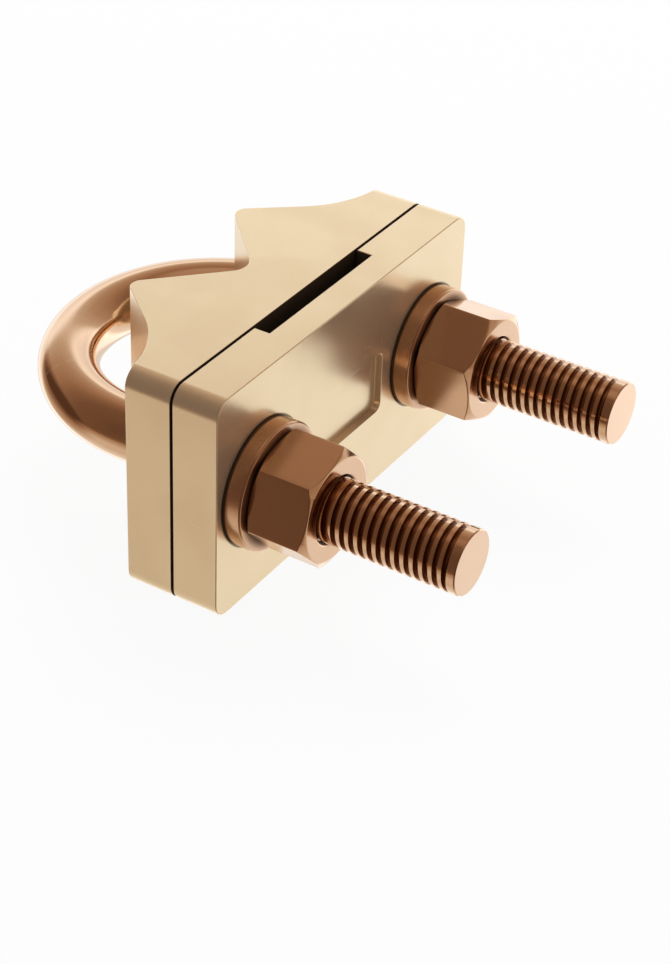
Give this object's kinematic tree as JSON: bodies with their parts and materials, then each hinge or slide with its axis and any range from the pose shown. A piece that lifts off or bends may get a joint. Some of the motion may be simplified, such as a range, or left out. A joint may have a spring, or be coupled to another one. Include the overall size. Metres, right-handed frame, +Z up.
{
  "type": "u-bolt rod clamp",
  "caption": "Earthing clamp that draws a flat tape and an upright round rod together between a V-faced saddle, a slotted plate and a U-bolt.",
  "frame": {"origin": "on the axis of the clamped rod, half way up the two castings", "axes": "+Z up along the rod; +Y from the nuts towards the bend of the U-bolt; X from leg to leg"},
  "size_m": [0.0688, 0.0863, 0.0372],
  "materials": {
    "casting": "satin gunmetal casting, pale gold",
    "bolt_bronze": "semi-bright copper-coloured bronze bar with a rolled thread",
    "nut_bronze": "semi-bright copper-coloured bronze, machined",
    "washer_bronze": "semi-bright copper-coloured bronze, stamped"
  },
  "bodies": {
    "plate": {"front_plate": "casting", "washer_left": "washer_bronze", "washer_right": "washer_bronze"},
    "saddle": {"saddle": "casting"},
    "u_bolt": {"u_bolt": "bolt_bronze"},
    "nut_left": {"nut_left": "nut_bronze"},
    "nut_right": {"nut_right": "nut_bronze"}
  },
  "joints": [
    {"name": "nut_left_spin", "type": "hinge", "parent": "plate", "child": "nut_left", "pos_m": [-0.02305, -0.04437, 0], "axis": [0, -1, 0], "range_deg": [0, 5040]},
    {"name": "nut_right_spin", "type": "hinge", "parent": "plate", "child": "nut_right", "pos_m": [0.02305, -0.04437, 0], "axis": [0, -1, 0], "range_deg": [0, 5040]},
    {"name": "u_bolt_slide", "type": "slide", "parent": "plate", "child": "u_bolt", "axis": [0, 1, 0], "range_m": [0, 0.021]},
    {"name": "saddle_slide", "type": "slide", "parent": "plate", "child": "saddle", "axis": [0, 1, 0], "range_m": [0, 0.0015]}
  ],
  "couplings": [
    {"joint": "nut_left_spin", "follows": "u_bolt_slide", "rad_per_m": 4188.8},
    {"joint": "nut_right_spin", "follows": "u_bolt_slide", "rad_per_m": 4188.8}
  ]
}
